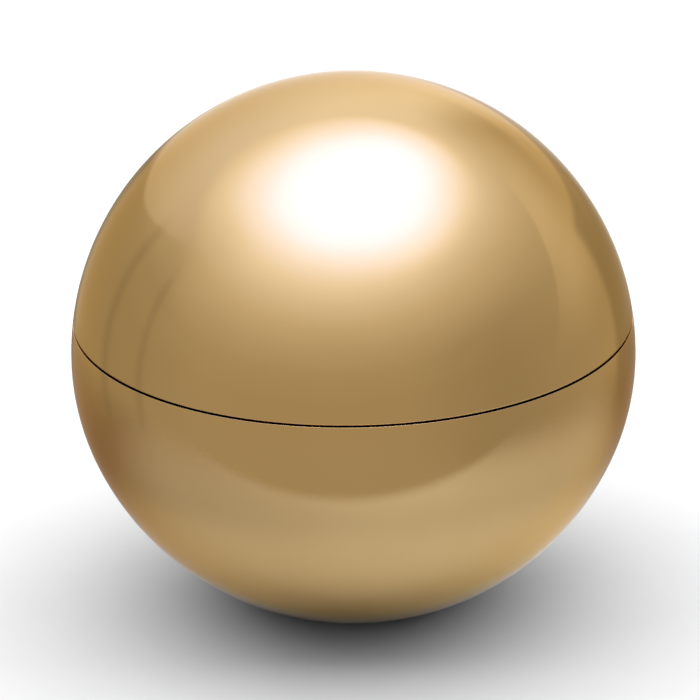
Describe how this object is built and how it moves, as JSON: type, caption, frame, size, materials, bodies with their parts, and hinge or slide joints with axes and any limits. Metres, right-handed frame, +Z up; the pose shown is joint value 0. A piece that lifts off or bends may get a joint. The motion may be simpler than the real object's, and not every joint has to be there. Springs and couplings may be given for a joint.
{
  "type": "ball lip balm container",
  "caption": "Mirror-finish gold ball that twists open at its seam: a screw lid over a balm dome held in a threaded cup, standing on a flat foot.",
  "frame": {"origin": "middle of the flat foot that the ball stands on", "axes": "+Z up through both shells, along the screw axis"},
  "size_m": [0.042, 0.042, 0.0401],
  "materials": {
    "gold_shell": "vacuum-metallised gold, mirror gloss",
    "white_moulding": "moulded polypropylene, satin",
    "soft_seal": "soft, matt",
    "balm_wax": "cast wax balm, satin",
    "label_paper": "blank coated label"
  },
  "bodies": {
    "base": {"base_shell": "gold_shell", "balm_cup": "white_moulding", "cup_plug": "white_moulding", "balm_anchor": "white_moulding", "balm": "balm_wax", "bottom_label": "label_paper"},
    "gasket": {"lid_gasket": "soft_seal"},
    "lid": {"lid_shell": "gold_shell", "lid_liner": "white_moulding"}
  },
  "joints": [
    {"name": "lid_rise", "type": "slide", "parent": "base", "child": "gasket", "axis": [0, 0, 1], "range_m": [0, 0.024]},
    {"name": "lid_turn", "type": "hinge", "parent": "gasket", "child": "lid", "pos_m": [0, 0, 0.022], "axis": [0, 0, 1], "range_deg": [0, 1080]}
  ],
  "couplings": [
    {"joint": "lid_rise", "follows": "lid_turn", "m_per_rad": 0.0012732}
  ]
}
